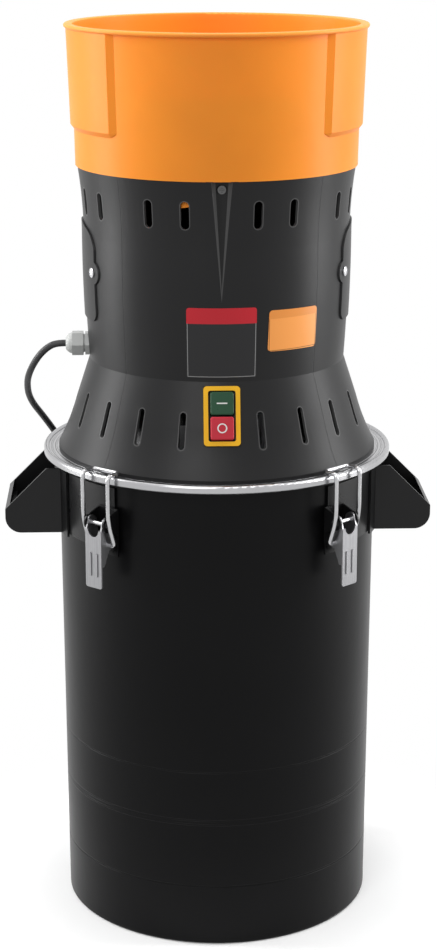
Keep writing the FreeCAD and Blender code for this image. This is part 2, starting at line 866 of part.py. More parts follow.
def make_field_coils():
    low = stator_low - coil_overhang
    high = stator_high + coil_overhang
    band = ring(stator_bore - seat_gap, pole_radius + 1, low, high)
    reach = pole_half + coil_side
    inner = pole_half + seat_gap
    coils = []
    for side in (-1, 1):
        near, far = sorted((side * 10, side * stator_bore))
        loop = band.common(box(-reach, reach, near, far, low, high))
        coils.append(loop.cut(box(-inner, inner, near, far, stator_low - seat_gap, stator_high + seat_gap)))
    return Part.makeCompound(coils)


def make_motor_bolts():
    bolts = []
    top = stator_high + bracket_plate
    for x in (-post_place, post_place):
        for y in (-post_place, post_place):
            shank = rod(bolt_radius, (x, y, bolt_low), (x, y, top))
            head = rod(bolt_head_radius, (x, y, top), (x, y, top + 3.5))
            bolts.append(united([shank, head]))
    return Part.makeCompound(bolts)


def make_shaft():
    body = rod(shaft_radius, (0, 0, shaft_low), (0, 0, shaft_high))
    shoulder = rod(shaft_radius + 2.5, (0, 0, blade_z + 8), (0, 0, blade_z + 12))
    return united([body, shoulder])


def make_armature_core():
    core = ring(armature_radius, shaft_radius, stator_low, stator_high)
    slots = []
    for index in range(armature_slots):
        slot = box(armature_radius - 7, armature_radius + 1, -1.3, 1.3, stator_low - 1, stator_high + 1)
        slots.append(facing(slot, 360.0 * index / armature_slots))
    return core.cut(slots)


def make_armature_winding():
    ends = []
    for low in (stator_low - winding_height, stator_high):
        high = low + winding_height
        ends.append(turned(section(
            (shaft_radius + 3, low), (winding_radius - 5, low),
            ((winding_radius - 1.3, low + winding_height * 0.28), (winding_radius, low + winding_height / 2)),
            ((winding_radius - 1.3, high - winding_height * 0.28), (winding_radius - 5, high)),
            (shaft_radius + 3, high),
        )))
    sleeves = []
    for low in (stator_low - winding_height, stator_high):
        sleeves.append(ring(shaft_radius + 3, shaft_radius, low, low + winding_height))
    return Part.makeCompound([united([end, sleeve]) for end, sleeve in zip(ends, sleeves)])


def make_commutator():
    drum = ring(commutator_radius, shaft_radius, commutator_low, commutator_high)
    grooves = []
    for index in range(commutator_bars):
        groove = box(commutator_radius - 1, commutator_radius + 1, -0.35, 0.35,
                     commutator_low + 3, commutator_high + 1)
        grooves.append(facing(groove, 360.0 * (index + 0.5) / commutator_bars))
    return drum.cut(grooves)


def make_brush_holders():
    holders = []
    half_width = brush_width / 2 + seat_gap
    half_height = brush_height / 2 + seat_gap
    outer_half = half_width + holder_wall
    low = brush_z - brush_height / 2 - holder_wall
    high = brush_z + half_height + holder_wall
    tube = box(holder_start, holder_end, -outer_half, outer_half, low, high)
    bore = box(holder_start - 1, holder_end - 3, -half_width, half_width, brush_z - half_height + seat_gap,
               brush_z + half_height)
    holder = tube.cut(bore)
    for azimuth in (-90.0, 90.0):
        holders.append(facing(holder, azimuth))
    return Part.makeCompound(holders)


def make_carbon_brushes():
    brushes = []
    start = commutator_radius + running_gap
    brush = box(start, start + brush_length, -brush_width / 2, brush_width / 2,
                brush_z - brush_height / 2, brush_z + brush_height / 2)
    brush = brush.cut(rod(commutator_radius + running_gap, (0, 0, brush_z - 20), (0, 0, brush_z + 20)))
    for azimuth in (-90.0, 90.0):
        brushes.append(facing(brush, azimuth))
    return Part.makeCompound(brushes)


def make_cooling_fan():
    plate = ring(fan_radius, shaft_radius, fan_plate_z, fan_plate_z + 2)
    hub = ring(shaft_radius + 5, shaft_radius, fan_low, fan_plate_z + 2)
    vanes = []
    for index in range(fan_vanes):
        vane = box(shaft_radius + 12, fan_radius - 1, -0.8, 0.8, fan_low, fan_plate_z + 1)
        vanes.append(facing(vane, 360.0 * index / fan_vanes))
    return united([plate, hub] + vanes)


def make_chamber():
    under = lid_top - lid_thickness
    top_ring = ring(chamber_radius, screen_radius + screen_wall + seat_gap, under - chamber_ring, under)
    floor = rod(chamber_radius, (0, 0, chamber_low), (0, 0, chamber_low + chamber_plate))
    place = (chamber_radius + screen_radius + screen_wall) / 2
    posts = []
    for index in range(chamber_posts):
        post = rod(chamber_post_radius, (place, 0, chamber_low + 1), (place, 0, under - 1))
        posts.append(facing(post, 45 + 360.0 * index / chamber_posts))
    return united([top_ring, floor] + posts)


def make_screen():
    under = lid_top - lid_thickness
    low = chamber_low + chamber_plate
    band = ring(screen_radius + screen_wall, screen_radius, low, under)
    middle = (low + under) / 2
    holes = []
    for column in range(screen_columns):
        for row in range(screen_rows):
            z = middle + (row - (screen_rows - 1) / 2) * screen_row_pitch
            hole = rod(screen_hole_radius, (screen_radius - 5, 0, z), (screen_radius + 5, 0, z))
            holes.append(facing(hole, 360.0 * (column + 0.5 * (row % 2)) / screen_columns))
    return band.cut(holes)


def make_blade():
    bar = box(-blade_length / 2, blade_length / 2, -blade_width / 2, blade_width / 2,
              blade_z, blade_z + blade_thickness)
    tips = []
    for side in (-1, 1):
        near, far = sorted((side * blade_length / 2, side * (blade_length / 2 - 5)))
        tips.append(box(near, far, -blade_width / 2, blade_width / 2,
                        blade_z + blade_thickness / 2 - blade_tip_height,
                        blade_z + blade_thickness / 2 + blade_tip_height))
    hub = rod(blade_hub_radius, (0, 0, blade_z), (0, 0, blade_z + 8))
    blade = united([bar, hub] + tips)
    return blade.cut(rod(shaft_radius, (0, 0, blade_z - 30), (0, 0, blade_z + 30)))


def make_blade_nut():
    corners = []
    for index in range(7):
        angle = math.radians(60 * index)
        corners.append(FreeCAD.Vector(nut_radius * math.cos(angle), nut_radius * math.sin(angle),
                                      blade_z - nut_height))
    nut = Part.Face(Part.makePolygon(corners)).extrude(up * nut_height)
    return nut.cut(rod(shaft_radius, (0, 0, blade_z - 30), (0, 0, blade_z + 30)))


def make_switch_frame():
    plate = plate_along_x(switch_width / 2, -switch_height / 2, switch_height / 2, switch_corner,
                          -switch_back, switch_proud)
    window = plate_along_x(switch_window_width / 2, -switch_window_height / 2, switch_window_height / 2, 2,
                           -switch_back - 1, switch_proud + 1)
    return switch_place(plate.cut(window))


def make_switch_body():
    half = switch_window_width / 2 + 2
    tall = switch_window_height / 2 + 1.5
    body = box(-switch_body_depth, -switch_back, -half, half, -tall, tall)
    for side in (-1, 1):
        centre = side * button_pitch / 2
        reach = button_width / 2 + slide_gap
        body = body.cut(box(-switch_back - button_stem - button_travel, 5, -reach, reach,
                            centre - reach, centre + reach))
    return switch_place(body)


def make_button(side):
    centre = side * button_pitch / 2
    half = button_width / 2
    cap = plate_along_x(half, centre - half, centre + half, 2,
                        -switch_back - button_stem + slide_gap, button_proud)
    front = [edge for edge in cap.Edges
             if edge.BoundBox.XMin > button_proud - 0.01 and edge.BoundBox.XMax < button_proud + 0.01]
    cap = cap.makeFillet(1.2, front)
    return switch_place(cap)


def make_gland():
    """Threaded body through the wall, its flange shaped to the face and its locknut to the inside."""
    body = rod(gland_thread_radius, (gland_inner_end, 0, gland_z), (gland_dome_start + 4, 0, gland_z))
    flange = hex_prism(gland_flange_radius, gland_face, gland_flange_end)
    flange.translate(up * gland_z)
    flange = flange.cut(turned(housing_section(proud=running_gap)))
    locknut = hex_prism(gland_flange_radius, gland_inner_end + 2, gland_face)
    locknut.translate(up * gland_z)
    locknut = locknut.common(turned(housing_section(inset=housing_wall + running_gap)))
    return facing(united([body, flange, locknut]), -90)


def hex_prism(radius, x0, x1):
    corners = []
    for index in range(7):
        angle = math.radians(60 * index)
        corners.append(FreeCAD.Vector(x0, radius * math.cos(angle), radius * math.sin(angle)))
    return Part.Face(Part.makePolygon(corners)).extrude(FreeCAD.Vector(x1 - x0, 0, 0))


def make_gland_nut():
    """Dome nut with a closed nose that the cord comes out of."""
    nut = hex_prism(gland_dome_radius, gland_dome_start, gland_dome_end)
    nose = section((0, gland_dome_end - 1), (gland_dome_radius - 2, gland_dome_end - 1),
                   (gland_dome_radius - 2, gland_dome_end),
                   ((gland_nose_radius + 2.4, gland_nose_end - 2), (gland_nose_radius, gland_nose_end)),
                   (0, gland_nose_end))
    nose = turned(nose)
    nose.rotate(origin, y_axis, 90)
    nut = united([nut, nose])
    nut = nut.cut(rod(gland_thread_radius + seat_gap, (gland_dome_start - 1, 0, 0),
                      (gland_dome_start + 4.2, 0, 0)))
    nut.translate(up * gland_z)
    return facing(nut, -90)


def apron_face(z):
    return bin_radius(z) + seat_gap + apron_wall


def make_apron(azimuth):
    inner_low = bin_radius(apron_low) + seat_gap
    inner_high = bin_radius(apron_high) + seat_gap
    plate = section((inner_low, apron_low), (inner_low + apron_wall, apron_low),
                    (inner_high + apron_wall, apron_high), (inner_high, apron_high))
    plate = sector(plate, apron_start, 180.0 - apron_start)
    plate = facing(plate, azimuth)
    return plate.cut(handle_screw_holes(azimuth))


def handle_screw_holes(azimuth):
    holes = []
    for y in (-handle_screw_y, handle_screw_y):
        for z in handle_screw_zs:
            holes.append(facing(rod(handle_screw_radius + screw_gap, (120, y, z), (150, y, z)), azimuth))
    return holes


def handle_outline(inset, bottom_inset):
    """Side view of the scoop, moved inward by the wall on the grip and the floor."""
    reach = handle_reach - inset
    low = handle_low + bottom_inset
    corner = handle_corner - min(inset, bottom_inset)
    slant = corner * (1 - math.sqrt(0.5))
    root = bin_mouth_radius - 10
    return section(
        (root, low), (reach - corner, low), ((reach - slant, low + slant), (reach, low + corner)),
        (reach, handle_shoulder_z + inset), (reach - (handle_high - handle_shoulder_z), handle_high + inset),
        (root, handle_high + inset),
    )


def make_handle(azimuth):
    outer = handle_outline(0, 0)
    outer.translate(y_axis * -handle_half)
    block = outer.extrude(y_axis * (2 * handle_half))
    inner_half = handle_half - handle_wall
    inner = handle_outline(grip_wall, handle_wall)
    inner.translate(y_axis * -inner_half)
    hollow = inner.extrude(y_axis * (2 * inner_half))
    scoop = block.cut(hollow)
    ledge_z = handle_shoulder_z - 8
    ledge = box(handle_reach - grip_wall - grip_ledge, handle_reach - 1, -inner_half - 0.5, inner_half + 0.5,
                ledge_z, ledge_z + 2)
    scoop = united([scoop, ledge])
    root_low = section((0, handle_low), (apron_face(handle_low) + seat_gap, handle_low),
                       (apron_face(handle_high) + seat_gap, handle_high), (0, handle_high))
    scoop = scoop.cut(turned(root_low))
    back_in = apron_face(apron_low) + seat_gap
    back_out = apron_face(apron_high) + seat_gap
    back = section((back_in, handle_low), (back_in + handle_root_wall, handle_low),
                   (back_out + handle_root_wall, handle_high), (back_out, handle_high))
    root_angle = math.degrees(math.asin(handle_root_half / back_in))
    back = sector(back, 90 - root_angle, 90 + root_angle)
    handle = united([scoop, back])
    handle = facing(handle, azimuth)
    return handle.cut(handle_screw_holes(azimuth))


def make_handle_screws():
    screws = []
    for azimuth in (-90.0, 90.0):
        for y in (-handle_screw_y, handle_screw_y):
            for z in handle_screw_zs:
                seat = math.sqrt((apron_face(z) + seat_gap + handle_root_wall) ** 2 - y * y)
                under = seat + handle_screw_stand
                head = rod(handle_screw_head_radius, (under, y, z), (under + handle_screw_head, y, z))
                shank = rod(handle_screw_radius, (seat - handle_screw_length, y, z), (under, y, z))
                screws.append(facing(united([head, shank]), azimuth))
    return Part.makeCompound(screws)


def bracket_base_radius():
    return apron_face(bracket_high) + seat_gap


def make_bracket(azimuth):
    base_in = bracket_base_radius()
    base = box(base_in, base_in + bracket_sheet, -bracket_half, bracket_half, bracket_low, bracket_high)
    ear = section(
        (base_in, bracket_ear_low), (pivot[0], pivot[1] - bracket_ear_radius),
        ((pivot[0] + bracket_ear_radius, pivot[1]), (pivot[0], pivot[1] + bracket_ear_radius)),
        (base_in, bracket_high),
    )
    ears = []
    for side in (-1, 1):
        near = min(side * bracket_half, side * (bracket_half - bracket_sheet))
        plate = ear.copy()
        plate.translate(y_axis * near)
        ears.append(plate.extrude(y_axis * bracket_sheet))
    bracket = united([base] + ears)
    bracket = bracket.cut(rod(pin_radius + 0.02, (pivot[0], -20, pivot[1]), (pivot[0], 20, pivot[1])))
    for y in (-rivet_y, rivet_y):
        bracket = bracket.cut(rod(rivet_radius, (100, y, rivet_z), (170, y, rivet_z)))
    return facing(bracket, azimuth)


def make_rivets():
    rivets = []
    seat = bracket_base_radius() + bracket_sheet
    for azimuth in latch_azimuths.values():
        for y in (-rivet_y, rivet_y):
            shank = rod(rivet_radius, (seat - bracket_sheet - 0.1, y, rivet_z), (seat, y, rivet_z))
            head = rod(rivet_radius + 1.2, (seat, y, rivet_z), (seat + rivet_head, y, rivet_z))
            rivets.append(facing(united([shank, head]), azimuth))
    return Part.makeCompound(rivets)


def make_pins():
    pins = []
    for azimuth in latch_azimuths.values():
        shank = rod(pin_radius, (pivot[0], -bracket_half, pivot[1]), (pivot[0], bracket_half, pivot[1]))
        pieces = [shank]
        for side in (-1, 1):
            pieces.append(rod(pin_head_radius, (pivot[0], side * bracket_half, pivot[1]),
                              (pivot[0], side * pin_head_reach, pivot[1])))
        pins.append(facing(united(pieces), azimuth))
    return Part.makeCompound(pins)


def make_lever(azimuth):
    face_in = lever_face_radius - lever_sheet
    face = plate_along_x(lever_half, lever_low, lever_high, 2, face_in, lever_face_radius)
    notch = rod(6, (face_in - 1, 0, lever_high), (lever_face_radius + 1, 0, lever_high))
    face = face.cut(notch)
    flange = section(
        (lever_face_radius - 0.5, lever_flange_low), (lever_face_radius - 0.5, lever_high),
        (pivot[0] + 3.6, pivot[1] + 4.8),
        ((pivot[0] - 1.5, pivot[1] + lever_ear_radius - 0.2), (pivot[0] - lever_ear_radius, pivot[1])),
        (hook_pivot[0] - lever_hook_ear_radius, hook_pivot[1] + 1),
        ((hook_pivot[0] - 3.2, hook_pivot[1] - 3.2),
         (hook_pivot[0] + 1, hook_pivot[1] - lever_hook_ear_radius)),
        (lever_face_radius - 4, lever_flange_low),
    )
    pieces = [face]
    for side in (-1, 1):
        near = min(side * lever_half, side * (lever_half - lever_sheet))
        plate = flange.copy()
        plate.translate(y_axis * near)
        pieces.append(plate.extrude(y_axis * lever_sheet))
        rib = slot_cutter(lever_rib_radius, lever_rib_low, lever_rib_high, lever_face_radius - 0.5,
                          lever_face_radius + 0.9)
        rib.translate(y_axis * (side * lever_rib_y))
        pieces.append(rib)
    lever = united(pieces)
    for place, radius in ((pivot, pin_radius), (hook_pivot, wire_radius)):
        lever = lever.cut(rod(radius + running_gap, (place[0], -20, place[1]), (place[0], 20, place[1])))
    return facing(lever, azimuth)


def make_bail(azimuth):
    inner = lever_half - lever_sheet - 0.5
    knee = [(hook_pivot[0], -inner, hook_pivot[1]), (hook_pivot[0], -bail_half, hook_pivot[1]),
            (bail_leg_radius, -bail_half, bail_leg_z), (bail_leg_radius, -bail_half, bail_bar_z),
            (bail_bar_radius, -bail_half, bail_bar_z)]
    points = knee + [(x, -y, z) for x, y, z in reversed(knee)]
    side_radii = [bail_foot_bend, bail_knee, bail_bend, bail_bend]
    bail = swept(bent_wire(points, side_radii + side_radii[::-1]), wire_radius)
    return facing(bail, azimuth)


def cord_wire():
    """Straight runs joined by tangent arcs as large as their runs allow."""
    radii = []
    for index in range(1, len(cord_points) - 1):
        before = vector(cord_points[index - 1]) - vector(cord_points[index])
        after = vector(cord_points[index + 1]) - vector(cord_points[index])
        half_turn = 0.5 * (math.pi - before.getAngle(after))
        radii.append(arc_share * min(before.Length, after.Length) / math.tan(half_turn))
    print("cord radii", [round(radius) for radius in radii])
    return bent_wire(cord_points, radii)


def coil_place(turns):
    """Point on the coil's middle line after a number of turns."""
    from_middle = turns - coil_turns_in
    radius = coil_outer_radius - coil_pitch * coil_turns_in + coil_pitch * abs(from_middle)
    share = min(max((from_middle + coil_climb / 2) / coil_climb, 0.0), 1.0)
    z = cord_floor_z + coil_pitch * 0.5 * (1 - math.cos(math.pi * share))
    angle = math.radians(coil_start_angle - 360.0 * turns)
    return FreeCAD.Vector(coil_centre[0] + radius * math.cos(angle),
                          coil_centre[1] + radius * math.sin(angle), z)


def coil_heading(turns, ends):
    """Unit tangent of the coil; the first and last point head squarely out of it."""
    if turns <= 0 or turns >= ends:
        angle = math.radians(coil_start_angle - 360.0 * turns)
        return FreeCAD.Vector(math.sin(angle), -math.cos(angle), 0)
    step = 0.002
    return (coil_place(turns + step) - coil_place(turns - step)).normalize()


def biarc(start, start_heading, end, end_heading):
    """Two arcs that join two points with the given headings."""
    across = end - start
    headings = start_heading + end_heading
    a = 2.0 * (1.0 - start_heading.dot(end_heading))
    b = 2.0 * across.dot(headings)
    c = across.dot(across)
    reach = (-b + math.sqrt(b * b + 4.0 * a * c)) / (2.0 * a)
    join = (start + start_heading * reach + end - end_heading * reach) * 0.5
    edges = []
    for here, heading, there in ((start, start_heading, join), (end, end_heading * -1, join)):
        chord = there - here
        middle = arc_middle(here, heading, chord)
        if heading == start_heading and here == start:
            edges.append(Part.Arc(here, middle, there).toShape())
        else:
            edges.append(Part.Arc(there, middle, here).toShape())
    return edges


def arc_middle(here, heading, chord):
    """Middle point of the arc that leaves here along heading and spans chord."""
    half = heading.getAngle(chord)
    outward = (heading - chord * (heading.dot(chord) / chord.dot(chord))).normalize()
    rise = 0.5 * chord.Length * math.tan(0.5 * half)
    return here + chord * 0.5 + outward * rise


def make_coil():
    total = coil_turns_in + coil_turns_out
    quarters = int(round(total * 4))
    edges = []
    start = coil_place(0)
    heading = coil_heading(0, total)
    edges.append(Part.LineSegment(start - heading * coil_lead, start).toShape())
    for index in range(quarters):
        here = coil_place(index / 4)
        there = coil_place((index + 1) / 4)
        edges += biarc(here, coil_heading(index / 4, total), there, coil_heading((index + 1) / 4, total))
    end = coil_place(total)
    heading = coil_heading(total, total)
    edges.append(Part.LineSegment(end, end + heading * coil_tail).toShape())
    wire = Part.Wire(edges)
    print("coil length %.0f, least gap to itself %.2f" % (wire.Length, coil_gap(total)))
    return swept(wire, cord_radius), wire.Length


def coil_gap(total):
    """Least free space between turns, measured on points of the middle line."""
    steps = int(total * 48)
    points = [coil_place(total * index / steps) for index in range(steps + 1)]
    least = 1000.0
    apart = int(0.5 * steps / total)
    for i, first in enumerate(points):
        for second in points[i + apart:]:
            least = min(least, first.distanceToPoint(second))
    return least - 2 * cord_radius


def make_plug():
    """Three-pin plug that lies on the floor at the end of the coil, heading +X."""
    total = coil_turns_in + coil_turns_out
    start = coil_place(total) + coil_heading(total, total) * coil_tail
    relief = Part.makeCone(plug_relief_radius, plug_relief_radius + 1.6, plug_relief_length, origin, x_axis)
    front = plug_relief_length + plug_body_length
    body = plate_along_x(plug_half_width, -plug_half_height, plug_half_height, plug_corner,
                         plug_relief_length - 1, front)
    rear = [edge for edge in body.Edges if edge.BoundBox.XMax < plug_relief_length]
    body = body.makeFillet(4.0, rear)
    contact_z = earth_offset / 2 - 0.9
    pins = []
    for side in (-1, 1):
        y = side * blade_pitch / 2
        pins.append(box(front - 2, front + contact_length,
                        y - contact_thickness / 2, y + contact_thickness / 2,
                        contact_z - contact_height / 2, contact_z + contact_height / 2))
    earth_z = contact_z - earth_offset
    pins.append(rod(earth_radius, (front - 2, 0, earth_z), (front + earth_length, 0, earth_z)))
    body = united([relief, body]).cut(pins)
    for shape in [body] + pins:
        shape.translate(start)
    return body, Part.makeCompound(pins)


os.makedirs("parts", exist_ok=True)
nodes = {}
nodes["base_cap"] = make_base_cap()
nodes["bin_shell"] = make_bin_shell()
nodes["lid_plate"] = make_lid_plate()
nodes["rim_gasket"] = make_rim_gasket()
nodes["motor_housing"] = make_housing()
nodes["left_brush_cover"] = make_cover(-90.0)
nodes["right_brush_cover"] = make_cover(90.0)
nodes["cover_screws"] = make_cover_screws()
nodes["hopper"] = make_hopper()
nodes["hopper_screws"] = make_groove_screws()
nodes["feed_chute"] = make_feed_chute()
nodes["switch_frame"] = make_switch_frame()
nodes["switch_body"] = make_switch_body()
nodes["start_button"] = make_button(1)
nodes["stop_button"] = make_button(-1)
nodes["lower_bracket"] = make_lower_bracket()
nodes["upper_bracket"] = make_upper_bracket()
nodes["lower_bearing"] = make_bearing(lower_bearing_z)
nodes["upper_bearing"] = make_bearing(upper_bearing_z)
nodes["motor_stator"] = make_stator()
nodes["field_coils"] = make_field_coils()
nodes["motor_bolts"] = make_motor_bolts()
nodes["brush_holders"] = make_brush_holders()
nodes["carbon_brushes"] = make_carbon_brushes()
nodes["motor_shaft"] = make_shaft()
nodes["armature_core"] = make_armature_core()
nodes["armature_winding"] = make_armature_winding()
nodes["commutator"] = make_commutator()
nodes["cooling_fan"] = make_cooling_fan()
nodes["grinding_chamber"] = make_chamber()
nodes["sieve_screen"] = make_screen()
nodes["grinding_blade"] = make_blade()
nodes["blade_nut"] = make_blade_nut()
nodes["left_apron"] = make_apron(-90.0)
nodes["right_apron"] = make_apron(90.0)
nodes["left_handle"] = make_handle(-90.0)
nodes["right_handle"] = make_handle(90.0)
nodes["handle_screws"] = make_handle_screws()
nodes["bracket_rivets"] = make_rivets()
nodes["latch_pins"] = make_pins()
for corner_name, latch_azimuth in latch_azimuths.items():
    nodes[corner_name + "_bracket"] = make_bracket(latch_azimuth)
    nodes[corner_name + "_lever"] = make_lever(latch_azimuth)
    nodes[corner_name + "_bail"] = make_bail(latch_azimuth)
nodes["cord_gland"] = make_gland()
nodes["gland_nut"] = make_gland_nut()
cord_path = cord_wire()
nodes["cord"] = swept(cord_path, cord_radius)
nodes["cord_coil"], coil_length = make_coil()
nodes["plug"], nodes["plug_pins"] = make_plug()
print("cord length %.0f" % (cord_path.Length + coil_length))

for name, shape in nodes.items():
    solids = shape.Solids
    if not solids or not all(solid.isValid() for solid in solids):
        print("check", name, len(solids), [solid.isValid() for solid in solids])
    final = solids[0] if len(solids) == 1 else Part.makeCompound(solids)
    final.exportStep("parts/%s.step" % name)
print(len(nodes), "nodes")
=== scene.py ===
# %% [markdown]
# # Electric grain mill
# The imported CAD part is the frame. This script keeps its pieces where they are, gives each one a
# procedural finish, models the free cord and the small surface pieces that CAD leaves out, and sets up
# the photograph's camera with plain studio light.

# %%
import json
import math

import bpy
from mathutils import Matrix, Vector


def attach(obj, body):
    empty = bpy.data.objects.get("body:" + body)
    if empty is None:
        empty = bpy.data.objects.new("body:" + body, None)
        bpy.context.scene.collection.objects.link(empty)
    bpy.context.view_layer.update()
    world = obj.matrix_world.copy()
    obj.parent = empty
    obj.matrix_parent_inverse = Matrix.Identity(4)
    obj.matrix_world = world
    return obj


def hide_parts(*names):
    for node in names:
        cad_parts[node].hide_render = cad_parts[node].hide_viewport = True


MM = 0.001
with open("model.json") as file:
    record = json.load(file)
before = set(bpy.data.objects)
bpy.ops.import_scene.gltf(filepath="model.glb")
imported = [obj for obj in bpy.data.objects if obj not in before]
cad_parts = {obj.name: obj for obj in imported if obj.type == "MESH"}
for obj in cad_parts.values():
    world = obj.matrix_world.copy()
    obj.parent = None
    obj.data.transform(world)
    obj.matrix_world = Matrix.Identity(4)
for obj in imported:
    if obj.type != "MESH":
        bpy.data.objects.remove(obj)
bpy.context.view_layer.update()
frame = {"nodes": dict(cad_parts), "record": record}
nodes = frame["nodes"]
print(len(nodes), "CAD nodes loaded")

# %% [markdown]
# ## Camera
# The lens, distance and tilt were fitted to the photograph. The camera stands a little to the left of the
# mill's front and looks down on it.

# %%
CAMERA_LENS = 84.07
CAMERA_DISTANCE = 1.9143
CAMERA_HEIGHT = 0.9212
CAMERA_AZIMUTH = math.radians(-2.1)
CAMERA_TILT = math.radians(15.46)
CAMERA_YAW = math.radians(-2.149)


def add_camera():
    """Camera at the photograph's place."""
    place = (CAMERA_DISTANCE * math.sin(CAMERA_AZIMUTH), -CAMERA_DISTANCE * math.cos(CAMERA_AZIMUTH),
             CAMERA_HEIGHT)
    bpy.ops.object.camera_add(location=place)
    camera = bpy.context.object
    camera.name = "camera"
    turn = Matrix.Rotation(CAMERA_YAW, 4, "Z") @ Matrix.Rotation(math.pi / 2 - CAMERA_TILT, 4, "X")
    camera.rotation_euler = turn.to_euler()
    camera.data.sensor_fit = "AUTO"
    camera.data.sensor_width = 36
    camera.data.lens = CAMERA_LENS
    bpy.context.scene.camera = camera
    return camera


camera = add_camera()
print("camera at", [round(value, 3) for value in camera.location])

# %% [markdown]
# ## Cord
# The cord leaves the gland on the left, bends down behind the bin's rim, hangs to the floor and ends in a
# flat coil of two layers, wound inward and then outward again. The points are the part's own.

# %%
CORD_RADIUS = 3.0
CORD_FLOOR_Z = 3.2
CORD_POINTS = [
    (-132.5, 0.0, 513.5),
    (-141.0, 0.0, 513.5),
    (-149.0, 1.0, 509.5),
    (-157.3, 5.0, 500.6),
    (-165.0, 17.0, 486.0),
    (-169.5, 37.0, 470.0),
    (-168.5, 61.0, 448.5),
    (-155.0, 84.5, 424.0),
    (-138.0, 96.0, 395.0),
    (-127.5, 91.5, 352.0),
    (-125.0, 90.5, 297.0),
    (-123.5, 92.0, 235.0),
    (-124.5, 91.0, 172.0),
    (-123.5, 92.5, 112.0),
    (-124.5, 93.0, 62.0),
    (-123.5, 99.0, 21.0),
    (-120.0, 127.0, 3.2),
    (-117.1, 163.0, 3.2),
    (-117.1, 197.0, 3.2),
]
COIL_CENTRE = (-75.0, 203.0)
COIL_PITCH = 6.6
COIL_OUTER_RADIUS = 42.1
COIL_TURNS_IN = 2.75
COIL_TURNS_OUT = 2.5
COIL_CLIMB = 0.5
COIL_TAIL = 28.0
COIL_POINTS_PER_TURN = 20
COIL_TURNS = COIL_TURNS_IN + COIL_TURNS_OUT


def coil_point(turns):
    """Point on the coil's middle line after a number of turns."""
    from_middle = turns - COIL_TURNS_IN
    radius = COIL_OUTER_RADIUS - COIL_PITCH * (COIL_TURNS_IN - abs(from_middle))
    share = min(max(from_middle / COIL_CLIMB + 0.5, 0.0), 1.0)
    z = CORD_FLOOR_Z + COIL_PITCH * 0.5 * (1 - math.cos(math.pi * share))
    angle = math.pi - 2 * math.pi * turns
    return (COIL_CENTRE[0] + radius * math.cos(angle), COIL_CENTRE[1] + radius * math.sin(angle), z)


def cord_line():
    """Every control point of the cord, from the gland to the plug, in millimetres."""
    line = list(CORD_POINTS)
    steps = round(COIL_TURNS * COIL_POINTS_PER_TURN)
    line += [coil_point(COIL_TURNS * step / steps) for step in range(steps + 1)]
    x, y, z = line[-1]
    line += [(x + COIL_TAIL / 2, y, z), (x + COIL_TAIL, y, z)]
    return line


def add_cord():
    """Round cord on one NURBS line."""
    curve = bpy.data.curves.new("power_cord", "CURVE")
    curve.dimensions = "3D"
    curve.bevel_depth = 1
    curve.bevel_resolution = 6
    curve.resolution_u = 8
    curve.use_fill_caps = True
    spline = curve.splines.new("NURBS")
    line = cord_line()
    spline.points.add(len(line) - 1)
    for point, (x, y, z) in zip(spline.points, line):
        point.co = (x * MM, y * MM, z * MM, 1)
        point.radius = CORD_RADIUS * MM
    spline.order_u = 3
    spline.use_endpoint_u = True
    cord = bpy.data.objects.new("power_cord", curve)
    bpy.context.collection.objects.link(cord)
    return cord


cord = add_cord()
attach(cord, "mill")
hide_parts("cord", "cord_coil")

# %% [markdown]
# ## Helpers for modelling and for finishes
# `Socket` wraps one output of a material's node tree, so that patterns are written as plain sums.
# `Finish` builds one material around a Principled shader.

# %%
def select_only(obj):
    """Deselects everything and makes obj the active object."""
    bpy.ops.object.select_all(action="DESELECT")
    obj.select_set(True)
    bpy.context.view_layer.objects.active = obj


def settle(obj, *modifiers):
    """Applies the modifiers and the transform, so that the object sits at the origin."""
    select_only(obj)
    for modifier in modifiers:
        bpy.ops.object.modifier_apply(modifier=modifier)
    bpy.ops.object.transform_apply(location=True, rotation=True, scale=True)
    return obj


def feed(tree, slot, value):
    """Links a Socket to an input, or sets a plain value on it."""
    if isinstance(value, Socket):
        tree.links.new(value.output, slot)
    else:
        slot.default_value = value


def add_node(tree, kind, settings=None, values=None):
    """Adds a node: its settings first, then a value or a link for each named or numbered input."""
    node = tree.nodes.new(kind)
    for key, value in (settings or {}).items():
        setattr(node, key, value)
    for key, value in (values or {}).items():
        feed(tree, node.inputs[key], value)
    return node


class Socket:
    """An output socket with arithmetic."""

    def __init__(self, tree, output):
        self.tree = tree
        self.output = output

    def math(self, operation, *others):
        """This value combined with others by one Math node."""
        values = dict(enumerate((self, *others)))
        node = add_node(self.tree, "ShaderNodeMath", {"operation": operation}, values)
        return Socket(self.tree, node.outputs[0])

    def __add__(self, other):
        return self.math("ADD", other)

    def __sub__(self, other):
        return self.math("SUBTRACT", other)

    def __mul__(self, other):
        return self.math("MULTIPLY", other)

    def __neg__(self):
        return self * -1.0

    def __rsub__(self, other):
        return -self + other

    __radd__ = __add__
    __rmul__ = __mul__

    def size(self):
        """The value without its sign."""
        return self.math("ABSOLUTE")

    def ramp(self, start, end):
        """0 at start and 1 at end, smooth between them."""
        values = {"Value": self, "From Min": start, "From Max": end}
        node = add_node(self.tree, "ShaderNodeMapRange", {"interpolation_type": "SMOOTHSTEP"}, values)
        return Socket(self.tree, node.outputs["Result"])

    def line(self, centre, half_width):
        """1 within half_width of centre, 0 outside twice that."""
        return (self - centre).size().ramp(2 * half_width, half_width)


